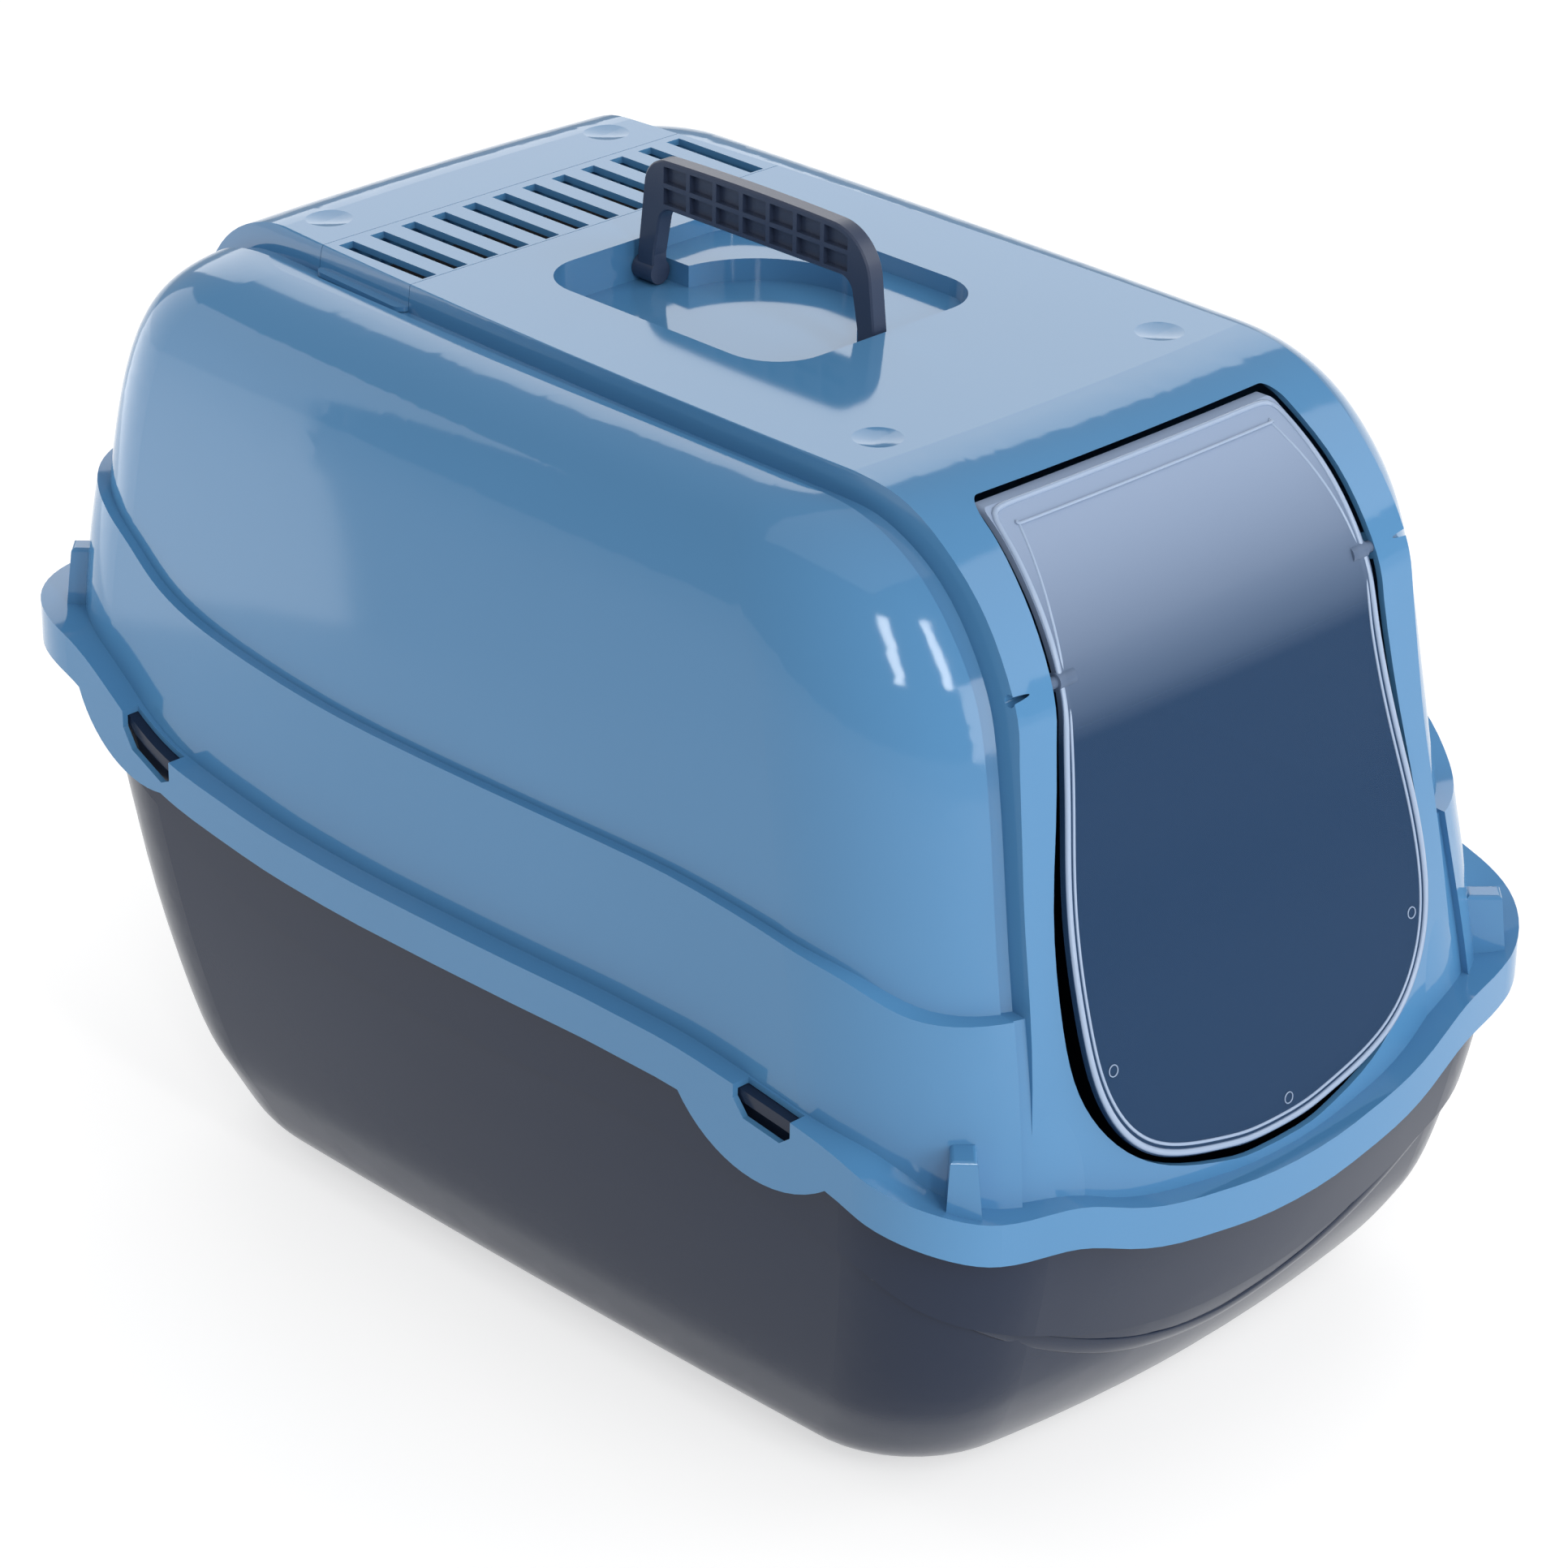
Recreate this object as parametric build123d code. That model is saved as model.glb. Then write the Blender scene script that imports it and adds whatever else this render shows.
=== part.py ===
from build123d import *
import math
import os

# Cat litter box with hood, in millimetres. +Z is up, the door faces -Y, the length runs along Y
# and the width along X. The origin is at the bottom centre.

# ---------------------------------------------------------------- driving dimensions
WALL = 2.6              # hood wall
TRAY_WALL = 3.0
FLANGE_A = 187.0        # half width of the flange
FLANGE_F = -292.5       # front of the flange
FLANGE_R = 287.0        # rear of the flange
FLANGE_RF, FLANGE_RR = 46.0, 51.0     # its corner radii
FLANGE_BOW = (3.0, 28.0, 4.0)         # how far its sides, front and rear bow out
POD_BOW = (3.0, 5.0, 5.0)
POD_LOW_BOW = (2.0, 6.0, 6.0)
TRAY_BOW = (3.0, 16.0, 6.0)
BAND_BOW = 3.0
SKIRT = 18.0            # height of the flange skirt
FIT = 0.3               # gap between faces of parts that part company
STEP_UP = 79.0          # hood character line above the skirt's lower edge
SHOULDER_FRONT = 220.0  # height of the hood's line where it runs level round the front
TRAY_STEP = 2.2         # how far the tray's upper band stands proud
GROOVE_W = 6.5          # groove between the centre band and the side pods
GROOVE_D = 3.0          # groove floor below the pods

TOP = 402.5             # top face of the centre band
GROOVE_TOP = 391.1      # groove floor along the flat of the top
PIVOT_Y, PIVOT_Z = -233.6, 339.0
PIN_D, BORE_D = 4.9, 5.04
FLAP_T = 2.6
FLAP_INSET = 1.4        # flap face behind the band face

VENT_F, VENT_R = 104.0, 162.0
SLOTS = 12
SLOT_W, SLOT_PITCH = 7.5, 16.7
TROUGH_FLOOR = 383.0
TROUGH_A = 96.0         # half width of the trough

RECESS_Y = 10.0         # centre of the handle recess
RECESS_A, RECESS_B = 61.0, 70.5
RECESS_FLOOR = 385.5
LEDGE = 395.0
DISH_R = 48.5
HANDLE_Z = 391.2        # handle pin axis
HANDLE_TOP = 442.5
HANDLE_HALF = 62.5      # half length over the legs
HANDLE_T = 8.0
HUB_D = 10.5
GRIP_H = 21.5
GRIP_RF, GRIP_RR = 22.0, 13.0         # top corners, front and rear
LEG_SPREAD = 5.0
WAFFLE, WAFFLE_PITCH = 7, 15.2

CLIP_Y = (-183.0, 182.0)      # latch windows along the side
CLIP_Z = (200.4, 226.0)
CLIP_R = (56.0, 48.0)

# lower edge of the skirt: height along the side, and across the front
SIDE_WAVE = [(-320, 150), (-242, 150), (-217, 155.5), (-182, 161.5), (-137, 167), (-92, 168),
             (-22, 166.6), (38, 166), (70, 166.4), (106, 168.4), (140, 172.4), (158, 175),
             (177, 179.5), (198, 190.5), (221, 206.5), (243, 214.5), (268, 216.5), (320, 216.5)]
FRONT_WAVE = [(0, 108.5), (30, 110), (48, 112.5), (64, 114), (84, 118.5), (97.5, 124),
              (114, 129.5), (124, 131), (134, 131), (147, 132.7), (156, 135), (164, 137.5),
              (175, 142), (187, 148), (215, 151)]
# the tray's character line, along the side and across the front
TRAY_SIDE_LINE = [(-320, 112), (-255, 114), (-224, 122), (-182, 131), (-139, 136), (-107, 138.5),
                  (-70, 136.5), (-23, 133.5), (26, 132.5), (77, 134), (103, 136), (129, 140),
                  (154, 150), (186, 167), (215, 182), (250, 192), (320, 196)]
TRAY_FRONT_LINE = [(0, 57), (30, 58.5), (67, 66), (80, 69.5), (111, 82), (138, 93), (160, 101),
                   (215, 108)]

# height, half width, front, rear, front corner radius, rear corner radius
POD = [(104, 176, -277, 276.5, 76, 49), (150, 173.5, -272, 274.5, 76, 49),
       (196, 171.5, -262.5, 271.5, 75, 49), (235, 170, -253, 268, 75, 49),
       (275, 168.5, -245.5, 262, 76, 49), (310, 166.6, -239.5, 256, 77, 48),
       (342, 163.8, -230, 248.5, 77, 46), (360, 160.6, -219, 242, 76, 44),
       (375, 154.8, -206, 234, 73, 42), (385, 146.2, -193.5, 224, 68, 40),
       (391, 135, -183, 213, 60, 38), (394, 119, -170, 200, 48, 34)]
POD_LOW = [(100, 182, -280, 281, 76, 52), (150, 179, -276, 279, 76, 52),
           (185, 177, -269.5, 276.5, 76, 52), (213, 175.6, -263, 274.5, 75, 52),
           (250, 173.6, -255, 271, 75, 51), (290, 171.2, -248, 265, 76, 51),
           (325, 168.4, -241.5, 258, 76, 50)]
# height, half width at front, middle, rear, front, rear
BAND = [(96, 129, 124, 118, -285.5, 282), (128, 127, 122, 116, -282.5, 280),
        (150, 125.5, 121, 114, -280, 279), (184, 122, 118, 112, -274.7, 277),
        (213, 119.5, 116, 110, -268.5, 274), (247, 117, 114, 108, -259, 269),
        (292, 114, 111.5, 105, -248.5, 261), (320, 112.5, 110, 103, -243.5, 255),
        (340, 111.5, 109, 102, -238.5, 250), (358, 110.5, 108.5, 101, -228.5, 245),
        (376, 109.5, 108, 100, -213.5, 237), (390, 109, 107.5, 99, -196, 226.5),
        (397, 108.5, 107, 98.5, -183, 216), (401, 108.2, 106.8, 98, -169, 205),
        (402.5, 108, 106.5, 97.5, -152, 192)]
TRAY = [(0, 125, -211, 184.5, 44, 60), (1, 132, -218, 190.5, 47, 62),
        (4, 138.6, -226.5, 198, 50, 64), (10, 146.5, -234.5, 203.5, 51.5, 64),
        (20, 153.5, -243, 208.5, 52.5, 64.5), (35, 160, -253, 214.5, 53.5, 64.5),
        (50, 165, -261, 222, 54.5, 64), (80, 169.8, -270, 233, 56, 64),
        (110, 173.5, -276.5, 241.5, 58, 64), (150, 177, -281, 251, 58.5, 64.5),
        (190, 179.5, -283, 259.5, 58, 64), (220, 180.3, -283.6, 264, 57.7, 63.6),
        (250, 181, -284, 268, 57.5, 63.2)]
# door opening in front view: height against half width
DOOR = [(390, 85.5), (376, 88), (356, 90.5), (334, 92.5), (292, 96.8), (247, 103.6),
        (213, 105.2), (184.5, 101), (157, 83.5), (142, 60), (133.5, 30)]
DOOR_TOP, DOOR_BOTTOM = 396.5, 131.0
DOOR_GAP = 4.2


def lerp(table, t):
    """Value at t of a table of (t, value) rows."""
    if t <= table[0][0]:
        return table[0][1]
    for (t0, v0), (t1, v1) in zip(table, table[1:]):
        if t <= t1:
            return v0 + (v1 - v0) * (t - t0) / (t1 - t0)
    return table[-1][1]


def ease(t):
    t = min(1.0, max(0.0, t))
    return t * t * (3 - 2 * t)


def wave(x, y):
    """Height over x, y of the skirt's lower edge."""
    front = ease((-218.0 - y) / 44.0)
    return (1 - front) * lerp(SIDE_WAVE, y) + front * lerp(FRONT_WAVE, abs(x))


def rim(lift):
    """The skirt's lower edge moved up by lift."""
    return lambda x, y: wave(x, y) + lift


def tray_line(x, y):
    """Height of the tray's character line."""
    front = ease((-215.0 - y) / 50.0)
    return (1 - front) * lerp(TRAY_SIDE_LINE, y) + front * lerp(TRAY_FRONT_LINE, abs(x))


def shoulder(drop):
    """The hood's character line moved down by drop: parallel to the rim, then level in front."""
    def height(x, y):
        front = ease((-200.0 - y) / 50.0)
        return (1 - front) * (lerp(SIDE_WAVE, y) + STEP_UP) + front * SHOULDER_FRONT - drop
    return height


def wave_face(height):
    """Smooth surface through a grid of heights."""
    rows = []
    for i in range(31):
        x = -225 + 15 * i
        rows.append([Vector(x, -330 + 15 * j, height(x, -330 + 15 * j)) for j in range(45)])
    return Face.make_surface_from_array_of_points(rows, tol=0.4, min_deg=3, max_deg=5)


def below(height):
    return Solid.extrude(wave_face(height), Vector(0, 0, -300))


def above(height):
    return Solid.extrude(wave_face(height), Vector(0, 0, 400))


def outline(a, yf, yr, rf, rr, bow=POD_BOW):
    """Rounded plan outline with gently bowed sides, front and rear."""
    ym = (yf + yr) / 2
    c = a - bow[0]
    front, rear = yf + bow[1], yr - bow[2]
    sides = [
        ThreePointArc((-c, front), (0, yf), (c, front)),
        ThreePointArc((c, front), (a, ym), (c, rear)),
        ThreePointArc((c, rear), (0, yr), (-c, rear)),
        ThreePointArc((-c, rear), (-a, ym), (-c, front)),
    ]
    face = make_face(sides)
    face = fillet(face.vertices().filter_by(lambda v: v.Y < ym), rf)
    return fillet(face.vertices().sort_by(lambda v: v.Y)[-2:], rr)


def body(table, grow=0.0, bow=POD_BOW):
    """Smooth body through rounded outlines, grown or shrunk by an even thickness."""
    faces = []
    for k, (z, a, yf, yr, rf, rr) in enumerate(table):
        z0, a0 = table[max(0, k - 1)][:2]
        z1, a1 = table[min(len(table) - 1, k + 1)][:2]
        run = math.hypot(z1 - z0, a1 - a0)
        out, up = (z1 - z0) / run, (a0 - a1) / run
        if k == 0:
            out, up = 1.0, 0.0
        if k == len(table) - 1 and abs(up) > 0.7:
            out, up = 0.12, 0.99
        g = grow * out
        section = outline(a + g, yf - g, yr + g, rf + g, rr + g, bow)
        faces.append(Pos(0, 0, z + grow * up) * section)
    return loft(faces)


def band(side=0.0, face=0.0, flat=False):
    """Centre band over front, top and rear. side widens it, face lifts its surface.

    Its front bows out more and more towards the floor, unless flat is set.
    """
    faces = []
    for k, (z, bf, bm, br, yf, yr) in enumerate(BAND):
        z0, yf0 = BAND[max(0, k - 1)][0], BAND[max(0, k - 1)][4]
        z1, yf1 = BAND[min(len(BAND) - 1, k + 1)][0], BAND[min(len(BAND) - 1, k + 1)][4]
        run = math.hypot(z1 - z0, yf1 - yf0)
        out, up = (z1 - z0) / run, (yf1 - yf0) / run
        if k == 0:
            out, up = 1.0, 0.0
        if k == len(BAND) - 1:
            out, up = 0.08, 1.0
        f, r = yf - face * out, yr + face * out
        bow = BAND_BOW if flat else BAND_BOW + 11.0 * ease((335.0 - z) / 190.0)
        corner_f, corner_r, middle = f + bow, r - BAND_BOW, (f + r) / 2
        edges = [
            ThreePointArc((-bf - side, corner_f), (0, f), (bf + side, corner_f)),
            ThreePointArc((bf + side, corner_f), (bm + side, middle), (br + side, corner_r)),
            ThreePointArc((br + side, corner_r), (0, r), (-br - side, corner_r)),
            ThreePointArc((-br - side, corner_r), (-bm - side, middle), (-bf - side, corner_f)),
        ]
        faces.append(Pos(0, 0, z + face * up) * make_face(edges))
    return loft(faces)


def block(x0, x1, y0, y1, z0, z1):
    return Pos((x0 + x1) / 2, (y0 + y1) / 2, (z0 + z1) / 2) * Box(x1 - x0, y1 - y0, z1 - z0)


def rod(d, axis, centre, length):
    turn = {"X": Rot(0, 90, 0), "Y": Rot(90, 0, 0), "Z": Rot(0, 0, 0)}[axis]
    return Pos(*centre) * turn * Cylinder(d / 2, length)


def door_prism(inset):
    """Solid along Y with the door outline, inset by a gap."""
    pts = [(w - inset, z) for z, w in DOOR]
    pts[-1] = (pts[-1][0] + inset * 0.5, pts[-1][1] + inset)
    pts[-2] = (pts[-2][0] + inset * 0.3, pts[-2][1] + inset * 0.7)
    low, high = DOOR_BOTTOM + inset, DOOR_TOP - inset
    right = Spline(*pts, (0, low), tangents=[(0.12, -1), (-1, 0)])
    left = Spline(*[(-x, z) for x, z in pts], (0, low), tangents=[(-0.12, -1), (1, 0)])
    x0, z0 = pts[0]
    r = high - z0
    top = Line((-x0 + r, high), (x0 - r, high))
    ends = [JernArc((x0, z0), (-0.12, 1), r, 83), JernArc((-x0, z0), (0.12, 1), r, -83)]
    top = Line(ends[1] @ 1, ends[0] @ 1)
    face = make_face([right, left, top] + ends)
    return Pos(0, -100, 0) * extrude(Plane.XZ * face, amount=230)


def trapezoid_lug(sx, y, base_z, turn):
    """Stacking lug standing on the flange, facing outwards over the corner."""
    foot = Rectangle(21, 15)
    head = Pos(0, 0.8, 32) * Rectangle(14, 10)
    lug = loft([foot, head])
    lug = fillet(lug.edges().group_by(Axis.Z)[-1], 1.6)
    return Pos(sx, y, base_z) * Rot(0, 0, turn) * lug


def lowered(table, depth):
    """Same table with its bottom row moved down, so that nested bodies share no bottom face."""
    return [(table[0][0] - depth,) + table[0][1:]] + table[1:]


def pods(grow, drop, depth):
    """Side pods: a narrow upper body standing in a slightly wider one below the character line."""
    low = body(lowered(POD_LOW, depth), grow, POD_LOW_BOW) & below(shoulder(drop))
    return body(lowered(POD, depth), grow) + low


def hood_shell():
    """Solid outside of the hood above the flange, with a groove each side of the centre band."""
    outer = (pods(0, 0, 0) - band(GROOVE_W, 30)) + pods(-GROOVE_D, 1.3, 4)
    return (outer + band()) & above(rim(SKIRT - WALL))


def hood_cavity():
    """Everything one wall thickness inside hood_shell."""
    wide = pods(-WALL, WALL, 8) - band(GROOVE_W + WALL, 30)
    deep = pods(-WALL - GROOVE_D, WALL + 1.3, 12)
    return wide + deep + band(-WALL, -WALL)


def flange_plan(g):
    """Plan outline of the flange, g inside its edge."""
    return outline(FLANGE_A - g, FLANGE_F + g, FLANGE_R - g, FLANGE_RF - g, FLANGE_RR - g,
                   FLANGE_BOW)


def make_flange():
    """Ledge, skirt, finger skirts below the latch windows, and the snap bead inside them."""
    edge = Pos(0, 0, 60) * extrude(flange_plan(0), 260)
    hollow = Pos(0, 0, 50) * extrude(flange_plan(WALL), 300)
    skirt = edge & above(rim(0)) & below(rim(SKIRT))
    for y, z, r in zip(CLIP_Y, CLIP_Z, CLIP_R):
        skirt = skirt + ((edge - hollow) & rod(2 * r, "X", (0, y, z), 500) & below(rim(6)))
    return skirt - (hollow & below(rim(SKIRT - WALL)))


def rounded_prism(a, b, r, y, z0, z1, draft=0.0):
    """Upright rounded rectangle block centred on x = 0."""
    low = Pos(0, y, z0) * RectangleRounded(2 * (a - draft), 2 * (b - draft), r - draft)
    high = Pos(0, y, z1) * RectangleRounded(2 * a, 2 * b, r)
    return loft([low, high])


def slot_x(k):
    return (k - (SLOTS - 1) / 2) * SLOT_PITCH


def hood_openings(hood):
    """Handle recess, filter trough, door, pin bores, latch windows and stacking dimples."""
    # handle recess: a round dish below a ledge on the far side, open to the end walls at the legs
    pocket = rounded_prism(RECESS_A + WALL, RECESS_B + WALL, 24 + WALL, RECESS_Y,
                           RECESS_FLOOR - WALL, TOP - 1.0)
    hood = hood + pocket
    deep = rounded_prism(RECESS_A, RECESS_B, 24, RECESS_Y, RECESS_FLOOR, TOP + 0.1, 0.8)
    deep = deep + rounded_prism(RECESS_A, RECESS_B, 24, RECESS_Y, TOP, TOP + 10)
    dish = Pos(0, RECESS_Y, 0) * Pos(0, 0, LEDGE - 20) * Cylinder(DISH_R, 40)
    shelf = block(6.5, 80, RECESS_Y - 80, RECESS_Y + 80, RECESS_FLOOR - 5, LEDGE) - dish
    hood = hood - (deep - shelf)
    for side in (-1, 1):
        y = RECESS_Y + side * (RECESS_B - 0.4)
        hood = hood + rod(HUB_D, "Y", (0, y + side * 3.2, HANDLE_Z), 6.4)
        hood = hood - rod(BORE_D, "Y", (0, y + side * 3, HANDLE_Z), 12)

    # trough for the filter pad: a ledge along both edges and a notch at each end for the grille
    y0, y1 = VENT_F - WALL, VENT_R + WALL
    hood = hood + block(-104, 104, y0, y1, TROUGH_FLOOR - WALL, GROOVE_TOP - 0.4)
    hood = hood + (block(-104, 104, y0, y1, TROUGH_FLOOR, TOP - 1.5) & band(-0.4, -1.0))
    hood = hood - block(-TROUGH_A, TROUGH_A, VENT_F + 3, VENT_R - 3, TROUGH_FLOOR, TOP + 20)
    hood = hood - block(-TROUGH_A, TROUGH_A, VENT_F, VENT_R, TOP - 3.0, TOP + 20)
    for side in (-1, 1):
        xa, xb = sorted((side * (TROUGH_A - 1), side * 130))
        hood = hood - (block(xa, xb, VENT_F, VENT_R, GROOVE_TOP, TOP + 20) & band(3, 30))
    for k in range(SLOTS - 1):
        x = (slot_x(k) + slot_x(k + 1)) / 2
        hood = hood - block(x - 4.5, x + 4.5, VENT_F + 8, VENT_R - 18, TROUGH_FLOOR - 5,
                            TROUGH_FLOOR + 1)
    for k in range(SLOTS):
        hood = hood + Pos(slot_x(k), VENT_R - 11, TROUGH_FLOOR + 5.5) * Cylinder(2.4, 12)

    # door opening and the bosses its pins turn in
    hood = hood - door_prism(0)
    for side in (-1, 1):
        boss = rod(11, "X", (side * 101.5, PIVOT_Y + 1.0, PIVOT_Z), 19) & band(-0.5, -0.4)
        hood = hood + (boss - door_prism(0))
        hood = hood - rod(BORE_D, "X", (side * 102, PIVOT_Y, PIVOT_Z), 40)

    # latch windows through the ledge and the top of the skirt
    for side in (-1, 1):
        for y, z in zip(CLIP_Y, CLIP_Z):
            hood = hood - clip_window(side, y)

    # shallow round dimples that take the feet of a box stacked on top
    for x, y in ((-79, -133), (79, -133), (-78, 184), (78, 184)):
        hood = hood - Pos(x, y, TOP + 49) * Sphere(50)
    return hood


def clip_window(side, y):
    """Six-sided window, seen from the side, reaching from the ledge down through the skirt."""
    z = wave(FLANGE_A, y) + SKIRT
    slope = (wave(FLANGE_A, y + 12) - wave(FLANGE_A, y - 12)) / 24
    pts = [(-15, 2), (-15, -7), (-9.5, -12), (9.5, -12), (15, -6), (15, 2)]
    face = make_face(Polyline(*[(y + u, z + v + slope * u) for u, v in pts], close=True))
    prism = extrude(Plane.YZ * face, amount=8, both=True)
    return Pos(side * (FLANGE_A - 1.5), 0, 0) * prism


def make_hood():
    hood = hood_shell() + make_flange()
    hood = hood - hood_cavity()
    hood = hood_openings(hood)
    ledge = above(rim(SKIRT - 1.0))
    for side in (-1, 1):
        front = trapezoid_lug(side * 152.5, -257, 144, side * -45 + 180 * (side > 0))
        rear = trapezoid_lug(side * 157, 252, 226, side * -135)
        hood = hood + (front & ledge) + (rear & ledge)
    return hood


def make_flap():
    skin = band(20, -FLAP_INSET, True) - band(30, -FLAP_INSET - FLAP_T, True)
    flap = skin & door_prism(DOOR_GAP)
    for side in (-1, 1):
        flap = flap + rod(7.4, "X", (side * 83.5, PIVOT_Y, PIVOT_Z), 9)
        flap = flap + rod(PIN_D, "X", (side * 92, PIVOT_Y, PIVOT_Z), 14)
    return flap


def vertex_at(face, x, y):
    return face.vertices().sort_by(lambda v: (v.X - x) ** 2 + (v.Y - y) ** 2)[0]


def make_handle():
    """U handle: legs spread to the pins, a deep grip with a waffle of pockets on both faces."""
    y0, y1 = RECESS_Y - HANDLE_HALF, RECESS_Y + HANDLE_HALF
    f0, f1 = y0 - LEG_SPREAD, y1 + LEG_SPREAD
    top, grip, hip = HANDLE_TOP - 1.3, HANDLE_TOP - GRIP_H, HANDLE_Z + 8
    legs = Polyline((y0, top), (f0, hip), (f0, HANDLE_Z), (f1, HANDLE_Z), (f1, hip), (y1, top))
    outer = make_face([legs, ThreePointArc((y0, top), (RECESS_Y, HANDLE_TOP), (y1, top))])
    outer = fillet(vertex_at(outer, y0, top), GRIP_RF)
    outer = fillet(vertex_at(outer, y1, top), GRIP_RR)
    hole = make_face(Polyline((y0 + 8.8, grip), (f0 + 9.5, hip), (f0 + 9.5, HANDLE_Z - 1),
                              (f1 - 9.5, HANDLE_Z - 1), (f1 - 9.5, hip), (y1 - 8.8, grip),
                              close=True))
    hole = fillet([vertex_at(hole, y0 + 8.8, grip), vertex_at(hole, y1 - 8.8, grip)], 7)
    handle = extrude(Plane.YZ * (outer - hole), amount=HANDLE_T / 2, both=True)
    handle = chamfer(handle.edges().filter_by(Plane.YZ), 0.7)

    cells = Sketch()
    for k in range(WAFFLE):
        y = RECESS_Y + (k - (WAFFLE - 1) / 2) * WAFFLE_PITCH
        for z0, z1 in ((grip + 2.2, grip + 9.2), (grip + 11.2, HANDLE_TOP - 2.6)):
            cells += Pos(y, (z0 + z1) / 2) * Rectangle(WAFFLE_PITCH - 2.2, z1 - z0)
    cells = cells & offset(outer, -2.4)
    for side in (-1, 1):
        pocket = extrude(Plane.YZ * cells, amount=2.7 * side)
        handle = handle - Pos(side * (HANDLE_T / 2 - 2.6), 0, 0) * pocket

    for side, foot in ((-1, f0), (1, f1)):
        handle = handle + rod(HUB_D, "Y", (0, foot - side * 3.8, HANDLE_Z), 11.4)
        handle = handle + rod(PIN_D, "Y", (0, foot + side * 4, HANDLE_Z), 8)
    return handle


def make_grille():
    """Slotted strip flush with the centre band, with a tab in the groove at each end."""
    y0, y1 = VENT_F + FIT, VENT_R - FIT
    strip = block(-120, 120, y0, y1, GROOVE_TOP + FIT, TOP + 5) & band()
    strip = strip - block(-TROUGH_A, TROUGH_A, y0 - 1, y1 + 1, GROOVE_TOP - 5, TOP - 2.9)
    for side in (-1, 1):
        plan = make_face(Polyline((side * 98, y0), (side * 109, y0), (side * 105.4, y1),
                                  (side * 98, y1), close=True))
        outer = [vertex_at(plan, side * 109, y0), vertex_at(plan, side * 105.4, y1)]
        strip = strip + Pos(0, 0, GROOVE_TOP + FIT) * extrude(fillet(outer, 5), 2)
    for k in range(SLOTS):
        x = slot_x(k)
        strip = strip - block(x - SLOT_W / 2, x + SLOT_W / 2, VENT_F + 1.5, VENT_R - 5, 380, 410)
    return strip


def make_filter():
    return block(1 - TROUGH_A, TROUGH_A - 1, VENT_F + 5, VENT_R - 15, TROUGH_FLOOR,
                 TROUGH_FLOOR + 9)


def make_tray():
    lower = body(TRAY, 0, TRAY_BOW)
    upper = body(TRAY, TRAY_STEP, TRAY_BOW) & above(tray_line)
    outer = lower + upper
    top = SKIRT - WALL - FIT
    lip = Pos(0, 0, 60) * extrude(flange_plan(WALL + 0.8), 260)
    lip = lip & above(rim(top - 5.0))
    tray = (outer + lip) & below(rim(top))
    inner = body([(3.2,) + row[1:] if row[0] == 0 else row for row in TRAY if row[0] not in (1,)],
                 -TRAY_WALL, TRAY_BOW)
    return tray - inner


BUILD = {"hood": make_hood, "tray": make_tray, "entry_flap": make_flap,
         "carry_handle": make_handle, "vent_grille": make_grille, "carbon_filter": make_filter}

if __name__ == "__main__":
    os.makedirs("parts", exist_ok=True)
    for name, make in BUILD.items():
        part = make()
        part.label = name
        export_step(part, f"parts/{name}.step")
        print(name, round(part.volume / 1000, 1), part.is_valid, len(part.solids()))
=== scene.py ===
import math

import bmesh
import bpy
import numpy as np
from mathutils import Matrix, Vector
from mathutils.bvhtree import BVHTree


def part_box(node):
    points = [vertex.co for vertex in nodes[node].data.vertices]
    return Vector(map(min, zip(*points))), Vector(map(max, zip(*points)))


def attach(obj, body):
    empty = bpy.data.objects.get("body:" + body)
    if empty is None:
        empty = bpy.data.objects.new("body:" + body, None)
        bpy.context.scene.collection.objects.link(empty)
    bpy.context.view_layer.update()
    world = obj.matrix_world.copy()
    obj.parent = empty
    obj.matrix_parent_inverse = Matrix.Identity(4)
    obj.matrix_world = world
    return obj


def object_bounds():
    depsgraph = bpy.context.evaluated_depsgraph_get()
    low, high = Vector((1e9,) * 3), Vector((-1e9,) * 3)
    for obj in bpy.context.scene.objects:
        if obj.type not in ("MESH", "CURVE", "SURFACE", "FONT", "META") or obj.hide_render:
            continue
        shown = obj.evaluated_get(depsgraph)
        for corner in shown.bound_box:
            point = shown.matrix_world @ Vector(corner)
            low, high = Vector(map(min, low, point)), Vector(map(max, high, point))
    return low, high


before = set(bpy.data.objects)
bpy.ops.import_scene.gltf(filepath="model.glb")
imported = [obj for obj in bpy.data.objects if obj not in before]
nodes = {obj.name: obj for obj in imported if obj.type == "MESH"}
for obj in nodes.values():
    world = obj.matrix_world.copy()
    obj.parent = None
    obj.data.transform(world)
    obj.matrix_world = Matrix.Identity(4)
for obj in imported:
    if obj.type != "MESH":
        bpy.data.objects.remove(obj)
cad_lo, cad_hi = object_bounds()

scene = bpy.context.scene
scene.view_settings.view_transform = "Standard"
scene.view_settings.look = "None"


# ---------------------------------------------------------------- materials
PLASTIC_IOR = 1.49
DRIFT_SCALE = 6.0                 # size of the faint cloudiness of colour and polish
SHEEN_START = 0.70                # share of the flap's height where the painted reflection begins to lighten it
FLAP_CLEAR, FLAP_SHEEN_OPACITY = 0.78, 0.82   # opacity below, and at the top under the painted reflection


def srgb(r, g, b):
    """Linear colour from 0-255 screen values."""
    return tuple(((c / 255 + 0.055) / 1.055) ** 2.4 if c > 10 else c / 255 / 12.92
                 for c in (r, g, b)) + (1.0,)


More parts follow.
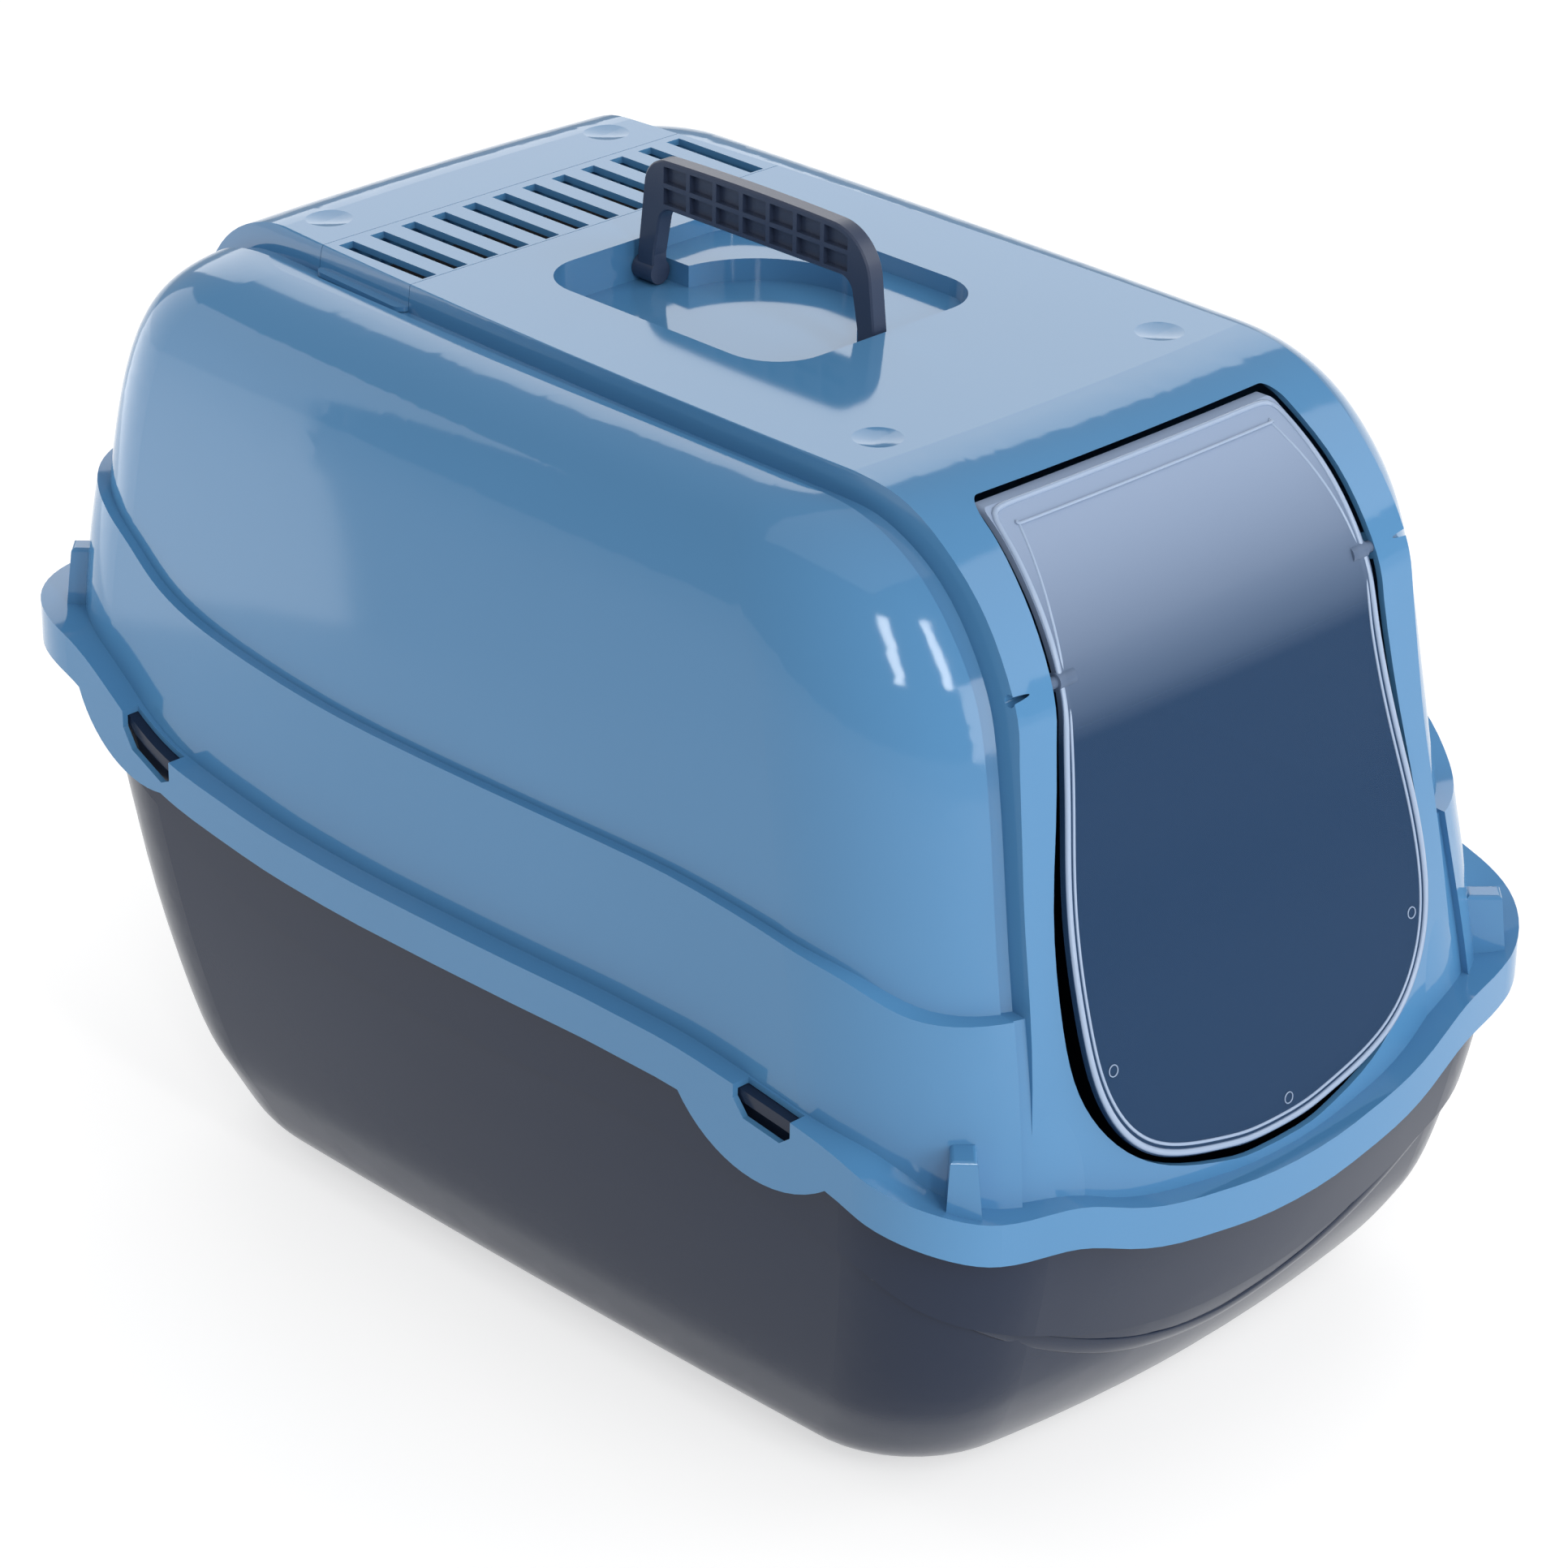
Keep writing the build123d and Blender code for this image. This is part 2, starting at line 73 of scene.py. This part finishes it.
def plastic(name, colour, vary, rough, grain, grain_size, bump, specular=0.5):
    """Moulded plastic: a faint drift of colour and polish, and a fine moulded grain."""
    m = bpy.data.materials.new(name)
    m.use_nodes = True
    nt = m.node_tree
    p = nt.nodes["Principled BSDF"]
    co = nt.nodes.new("ShaderNodeTexCoord")
    drift = nt.nodes.new("ShaderNodeTexNoise")
    drift.inputs["Scale"].default_value = DRIFT_SCALE
    drift.inputs["Detail"].default_value = 3.0
    nt.links.new(co.outputs["Object"], drift.inputs["Vector"])
    ramp = nt.nodes.new("ShaderNodeValToRGB")
    ramp.color_ramp.elements[0].position = 0.3
    ramp.color_ramp.elements[1].position = 0.7
    ramp.color_ramp.elements[0].color = tuple(c * (1 - vary) for c in colour[:3]) + (1,)
    ramp.color_ramp.elements[1].color = tuple(min(1, c * (1 + vary)) for c in colour[:3]) + (1,)
    nt.links.new(drift.outputs["Fac"], ramp.inputs["Fac"])
    nt.links.new(ramp.outputs["Color"], p.inputs["Base Color"])
    polish = nt.nodes.new("ShaderNodeMapRange")
    polish.inputs["To Min"].default_value = rough * 0.85
    polish.inputs["To Max"].default_value = rough * 1.15
    nt.links.new(drift.outputs["Fac"], polish.inputs["Value"])
    nt.links.new(polish.outputs["Result"], p.inputs["Roughness"])
    fine = nt.nodes.new("ShaderNodeTexNoise")
    fine.inputs["Scale"].default_value = grain_size
    fine.inputs["Detail"].default_value = 2.0
    nt.links.new(co.outputs["Object"], fine.inputs["Vector"])
    b = nt.nodes.new("ShaderNodeBump")
    b.inputs["Strength"].default_value = grain
    b.inputs["Distance"].default_value = bump
    nt.links.new(fine.outputs["Fac"], b.inputs["Height"])
    nt.links.new(b.outputs["Normal"], p.inputs["Normal"])
    p.inputs["Specular IOR Level"].default_value = specular
    p.inputs["IOR"].default_value = PLASTIC_IOR
    return m


blue = plastic("hood_blue", srgb(78, 131, 175), 0.02, 0.08, 0.02, 900, 0.0002)
charcoal = plastic("tray_charcoal", srgb(28, 39, 60), 0.03, 0.20, 0.04, 1400, 0.0003,
                   specular=0.28)
navy = plastic("handle_navy", srgb(52, 63, 86), 0.04, 0.34, 0.10, 1400, 0.0003)
felt = plastic("carbon_felt", srgb(18, 20, 26), 0.25, 0.95, 0.8, 700, 0.001)


def smoke():
    """Clear smoky plastic; towards its curved top a painted reflection of the lamps makes it
    paler and a little more opaque.
    """
    m = plastic("flap_smoke", srgb(50, 78, 112), 0.02, 0.14, 0.0, 500, 0.0001,
                specular=0.07)
    nt = m.node_tree
    p = nt.nodes["Principled BSDF"]
    lo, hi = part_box("entry_flap")
    co = nt.nodes.new("ShaderNodeTexCoord")
    split = nt.nodes.new("ShaderNodeSeparateXYZ")
    nt.links.new(co.outputs["Object"], split.inputs["Vector"])
    # Painted reflection: share of height over the flap's top part, where the lamps' reflection
    # is painted in
    sheen_rise = nt.nodes.new("ShaderNodeMapRange")
    sheen_rise.inputs["From Min"].default_value = lo[2] + SHEEN_START * (hi[2] - lo[2])
    sheen_rise.inputs["From Max"].default_value = hi[2]
    nt.links.new(split.outputs["Z"], sheen_rise.inputs["Value"])
    # Smoky tint below, turning to a painted reflection in pale blue-white at the top
    tint_and_sheen = nt.nodes.new("ShaderNodeValToRGB")
    tint_and_sheen.color_ramp.elements[0].color = srgb(40, 66, 98)
    tint_and_sheen.color_ramp.elements[1].color = srgb(160, 178, 206)
    nt.links.new(sheen_rise.outputs["Result"], tint_and_sheen.inputs["Fac"])
    nt.links.new(tint_and_sheen.outputs["Color"], p.inputs["Base Color"])
    solid = nt.nodes.new("ShaderNodeMapRange")
    solid.inputs["To Min"].default_value = FLAP_CLEAR
    solid.inputs["To Max"].default_value = FLAP_SHEEN_OPACITY
    nt.links.new(sheen_rise.outputs["Result"], solid.inputs["Value"])
    nt.links.new(solid.outputs["Result"], p.inputs["Alpha"])
    return m


smoky = smoke()
bead = plastic("flap_bead", srgb(150, 168, 194), 0.02, 0.15, 0.03, 500, 0.0002)

LOOK = {"hood": blue, "vent_grille": blue, "tray": charcoal, "carry_handle": navy,
        "entry_flap": smoky, "carbon_filter": felt}


for name, look in LOOK.items():
    o = nodes[name]
    o.data.materials.clear()
    o.data.materials.append(look)
    o.data.shade_smooth()


# ---------------------------------------------------------------- rim beads of the flap
PIVOT_Z = 0.339                   # height of the flap's pins
PIN_ZONE, PIN_HALF = 0.0065, 0.07     # rim points this near the pins are left out
RIM_STEPS = 220
RIM_SAMPLES = 2001
RIM_BEAD = (0.0014, 0.0010)       # half width and height of the outer bead
RIM_BEAD_IN = 0.0016              # its distance inside the edge
INNER_BEAD = (0.0007, 0.0005)
INNER_BEAD_IN = 0.0048            # distance of the second bead at the sides
INNER_BEAD_TOP = 0.0065           # how much further in it runs along the top
INNER_BEAD_PIN = 0.0012           # how much nearer the edge it runs past the pins
MARK_RADIUS = 0.0023
MARK_WIRE = (0.00025, 0.0003)
MARK_STEPS, MARK_SIDES = 24, 6
MARK_IN, MARK_LIFT = 0.0105, 0.0002
MARK_SHARES = (0.095, 0.245, 0.38)    # places of the marks along the rim


def flap_rim():
    """Rim of the flap's front face as an even closed loop: points, surface normals."""
    bm = bmesh.new()
    bm.from_mesh(nodes["entry_flap"].data)
    bmesh.ops.remove_doubles(bm, verts=bm.verts, dist=1e-5)
    bm.normal_update()
    lo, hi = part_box("entry_flap")
    middle_z = 0.5 * (lo[2] + hi[2])
    found = []
    for e in bm.edges:
        if len(e.link_faces) != 2:
            continue
        side, face = sorted(e.link_faces, key=lambda f: abs(f.normal.y))
        if abs(side.normal.y) > 0.05 or face.normal.y > -0.25 or face.calc_area() < 1e-9:
            continue
        for v in e.verts:
            if abs(v.co.z - PIVOT_Z) > PIN_ZONE or abs(v.co.x) < PIN_HALF:
                angle = math.atan2(v.co.z - middle_z, v.co.x)
                found.append((angle, v.co.copy(), face.normal.copy()))
    bm.free()
    found.sort(key=lambda t: t[0])
    angles = np.array([t[0] for t in found])
    values = np.array([list(t[1]) + list(t[2]) for t in found])
    angles = np.concatenate([angles - 2 * math.pi, angles, angles + 2 * math.pi])
    values = np.concatenate([values, values, values])
    fine = np.linspace(-math.pi, math.pi, RIM_SAMPLES)
    dense = np.stack([np.interp(fine, angles, values[:, k]) for k in range(6)], axis=1)
    run = np.concatenate([[0], np.cumsum(np.linalg.norm(np.diff(dense[:, :3], axis=0), axis=1))])
    even = np.linspace(0, run[-1], RIM_STEPS + 1)[:-1]
    loop = np.stack([np.interp(even, run, dense[:, k]) for k in range(6)], axis=1)
    for _ in range(2):
        loop = 0.5 * loop + 0.25 * (np.roll(loop, 1, 0) + np.roll(loop, -1, 0))
    return loop[:, :3], loop[:, 3:] / np.linalg.norm(loop[:, 3:], axis=1)[:, None]


def inset(points, normals, depth, lift):
    """The loop moved inwards over the surface by depth and off it by lift."""
    along = np.roll(points, -1, 0) - np.roll(points, 1, 0)
    along /= np.linalg.norm(along, axis=1)[:, None]
    inward = np.cross(along, normals)
    centre = points.mean(axis=0)
    flip = np.sign(np.sum(inward * (centre - points), axis=1).sum())
    moved = points + flip * inward * np.asarray(depth)[:, None] + normals * lift
    for _ in range(2):
        moved = 0.5 * moved + 0.25 * (np.roll(moved, 1, 0) + np.roll(moved, -1, 0))
    return moved


def tube(name, points, normals, width, height, material, body, slot, sides=8):
    """Closed bead of oval section along a loop."""
    n = len(points)
    along = np.roll(points, -1, 0) - np.roll(points, 1, 0)
    along /= np.linalg.norm(along, axis=1)[:, None]
    across = np.cross(along, normals)
    verts, faces = [], []
    for i in range(n):
        for k in range(sides):
            t = 2 * math.pi * k / sides
            verts.append(points[i] + across[i] * width * math.cos(t)
                         + normals[i] * height * math.sin(t))
    for i in range(n):
        for k in range(sides):
            j, q = (i + 1) % n, (k + 1) % sides
            faces.append((i * sides + k, i * sides + q, j * sides + q, j * sides + k))
    return add_piece(name, verts, faces, material, body)


def add_piece(name, verts, faces, material, body):
    """New mesh object with outward faces, riding on a body."""
    mesh = bpy.data.meshes.new(name)
    mesh.from_pydata([tuple(v) for v in verts], [], faces)
    bm = bmesh.new()
    bm.from_mesh(mesh)
    bmesh.ops.recalc_face_normals(bm, faces=bm.faces)
    bm.to_mesh(mesh)
    bm.free()
    mesh.materials.append(material)
    piece = bpy.data.objects.new(name, mesh)
    scene.collection.objects.link(piece)
    piece.data.shade_smooth()
    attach(piece, body)
    return piece


rim, rim_normals = flap_rim()
ones = np.ones(len(rim))
tube("flap_rim_bead", inset(rim, rim_normals, RIM_BEAD_IN * ones, 0.0), rim_normals, *RIM_BEAD,
     bead, "entry_flap", "flap_plastic")
upper = np.clip((rim[:, 2] - PIVOT_Z) / 0.05, 0, 1)
near_pivot = np.clip(1 - np.abs(rim[:, 2] - PIVOT_Z) / 0.03, 0, 1)
second = INNER_BEAD_IN + INNER_BEAD_TOP * upper ** 2 - INNER_BEAD_PIN * near_pivot
tube("flap_inner_bead", inset(rim, rim_normals, second, 0.0), rim_normals, *INNER_BEAD,
     bead, "entry_flap", "flap_plastic")


def ring_mark(index, at, normal):
    """Small round mould mark on the flap."""
    normal = Vector(normal)
    u = normal.orthogonal().normalized()
    v = normal.cross(u)
    points = np.array([list(Vector(at) + MARK_RADIUS * (u * math.cos(t) + v * math.sin(t)))
                       for t in np.linspace(0, 2 * math.pi, MARK_STEPS, endpoint=False)])
    tube(f"flap_mark_{index}", points, np.array([list(normal)] * MARK_STEPS), *MARK_WIRE,
         bead, "entry_flap", "flap_plastic", MARK_SIDES)


marks = inset(rim, rim_normals, MARK_IN * ones, MARK_LIFT)
for index, share in enumerate(MARK_SHARES):
    k = int(share * len(rim))
    ring_mark(index, marks[k], rim_normals[k])


# ---------------------------------------------------------------- crease of the tray's front
def surface_tree(node):
    """Search tree over the faces of a CAD piece, in the shared frame."""
    o = nodes[node]
    verts = [o.matrix_world @ v.co for v in o.data.vertices]
    return BVHTree.FromPolygons(verts, [tuple(p.vertices) for p in o.data.polygons])


def on_surface(tree, start, direction):
    """First point and outward normal met from start along direction."""
    way = Vector(direction).normalized()
    at, normal, _, _ = tree.ray_cast(Vector(start), way)
    if at is None:
        return None, None
    return at, normal if normal.dot(way) < 0 else -normal


CREASE_LOW = 0.041                # height of the crease in the middle of the front
CREASE_RISE = 0.079               # how much it rises by the time it is CREASE_HALF off centre
CREASE_HALF = 0.174
CREASE_CURVE = 1.7
CREASE_TURN = math.radians(57)    # how far round the corners it runs
CREASE_CENTRE_Y = -0.1
CREASE_STEPS = 120
CREASE_BEAD = (0.0045, 0.0009)    # half width and height
OUTSIDE = 0.5                     # distance of the search's starting points


def tapered_bead(name, points, normals, width, height, material, body, slot, sides=8):
    """Closed bead along an open line, running out to a point at both ends."""
    along = np.gradient(points, axis=0)
    along /= np.linalg.norm(along, axis=1)[:, None]
    across = np.cross(along, normals)
    n = len(points)
    verts, faces = [points[0] - normals[0] * height], []
    for i in range(1, n - 1):
        fade = math.sin(math.pi * i / (n - 1)) ** 0.5
        for k in range(sides):
            t = 2 * math.pi * k / sides
            verts.append(points[i] + across[i] * width * math.cos(t) * (0.4 + 0.6 * fade)
                         + normals[i] * height * (math.sin(t) * fade - (1 - fade)))
    verts.append(points[-1] - normals[-1] * height)
    for i in range(n - 3):
        for k in range(sides):
            a, b, q = 1 + i * sides, 1 + (i + 1) * sides, (k + 1) % sides
            faces.append((a + k, a + q, b + q, b + k))
    last = 1 + (n - 3) * sides
    for k in range(sides):
        q = (k + 1) % sides
        faces.append((0, 1 + q, 1 + k))
        faces.append((len(verts) - 1, last + k, last + q))
    return add_piece(name, verts, faces, material, body)


def evened(rows, passes=6):
    """The rows with small jumps from one to the next taken out; the ends stay."""
    rows = np.array(rows)
    for _ in range(passes):
        rows[1:-1] = 0.5 * rows[1:-1] + 0.25 * (rows[:-2] + rows[2:])
    return rows


def front_crease():
    """Line of the soft crease that dips across the tray's front from corner to corner."""
    tree = surface_tree("tray")
    points, normals = [], []
    for turn in np.linspace(-CREASE_TURN, CREASE_TURN, CREASE_STEPS):
        z = CREASE_LOW
        for _ in range(6):
            start = (OUTSIDE * math.sin(turn), CREASE_CENTRE_Y - OUTSIDE * math.cos(turn), z)
            at, normal = on_surface(tree, start, (-math.sin(turn), math.cos(turn), 0))
            if at is None:
                break
            z = CREASE_LOW + CREASE_RISE * (abs(at.x) / CREASE_HALF) ** CREASE_CURVE
        if at is not None:
            points.append(list(at))
            normals.append(list(normal))
    return evened(points), evened(normals)


crease_points, crease_normals = front_crease()
tapered_bead("tray_front_crease", crease_points, crease_normals, *CREASE_BEAD,
             charcoal, "tray", "tray_plastic")


# ---------------------------------------------------------------- floor, light and camera
FLOOR_SIZE, FLOOR_DROP = 24, 0.0005
FLOOR_GLOW, WORLD_GLOW = 0.6, 0.42
PURE_WHITE = (1.0, 1.0, 1.0, 1.0)

bpy.ops.mesh.primitive_plane_add(size=FLOOR_SIZE, location=(0, 0, -FLOOR_DROP))
floor = bpy.context.object
floor.name = "floor"
white = plastic("floor_white", srgb(192, 192, 192), 0.005, 0.8, 0.02, 60, 0.0002, specular=0.1)
floor_shader = white.node_tree.nodes["Principled BSDF"]
floor_shader.inputs["Emission Color"].default_value = PURE_WHITE
floor_shader.inputs["Emission Strength"].default_value = FLOOR_GLOW
floor.data.materials.append(white)

world = bpy.data.worlds.new("studio")
world.use_nodes = True
background = world.node_tree.nodes["Background"]
background.inputs["Color"].default_value = PURE_WHITE
background.inputs["Strength"].default_value = WORLD_GLOW
scene.world = world


def soft_box(name, location, target, size, power):
    """White rectangular light that the camera does not see."""
    light = bpy.data.lights.new(name, "AREA")
    light.shape = "RECTANGLE"
    light.size, light.size_y = size
    light.energy = power
    o = bpy.data.objects.new(name, light)
    o.location = location
    o.rotation_mode = "QUATERNION"
    o.rotation_quaternion = (Vector(target) - Vector(location)).to_track_quat("-Z", "Y")
    o.visible_camera = False
    scene.collection.objects.link(o)


middle = (cad_lo + cad_hi) / 2
LIGHTS = (
    ("overhead", (0.0, 0.0, 3.0), middle, (2.4, 2.4), 10),
    ("front_right", (1.7, -1.6, 1.7), middle, (2.0, 1.6), 16),
    ("front", (0.3, -3.0, 0.9), middle, (2.0, 1.4), 34),
    ("behind", (2.2, 2.2, 1.75), middle, (3.2, 1.8), 30),
    ("rear_left_card", (-0.30, 0.98, 0.45), (0.34, 0.34, 0.45), (1.0, 0.9), 3.6),
    ("strip_a", (-1.74, -1.93, 2.1), middle, (0.24, 1.4), 13),
    ("strip_b", (-0.76, -2.5, 2.1), middle, (0.24, 1.4), 13),
)
for light_name, place, target, size, power in LIGHTS:
    soft_box(light_name, place, target, size, power)

AZIMUTH, ELEVATION, ROLL = math.radians(-45.125), math.radians(26.476), math.radians(0.878)
DISTANCE, FOCAL, FRAME_PX, SENSOR = 2.189, 6479.35, 1932, 36.0
aim = Vector((0.0, -0.0077, 0.1854))
back = Vector((math.sin(AZIMUTH) * math.cos(ELEVATION), -math.cos(AZIMUTH) * math.cos(ELEVATION),
               math.sin(ELEVATION)))
right = Vector((0, 0, 1)).cross(back).normalized()
up = back.cross(right)
turn = Matrix((right * math.cos(ROLL) + up * math.sin(ROLL),
               -right * math.sin(ROLL) + up * math.cos(ROLL), back)).transposed()
camera = bpy.data.cameras.new("camera")
camera.sensor_width = SENSOR
camera.lens = FOCAL / FRAME_PX * SENSOR
camera_object = bpy.data.objects.new("camera", camera)
scene.collection.objects.link(camera_object)
camera_object.rotation_mode = "QUATERNION"
camera_object.rotation_quaternion = turn.to_quaternion()
camera_object.location = aim + back * DISTANCE
scene.camera = camera_object
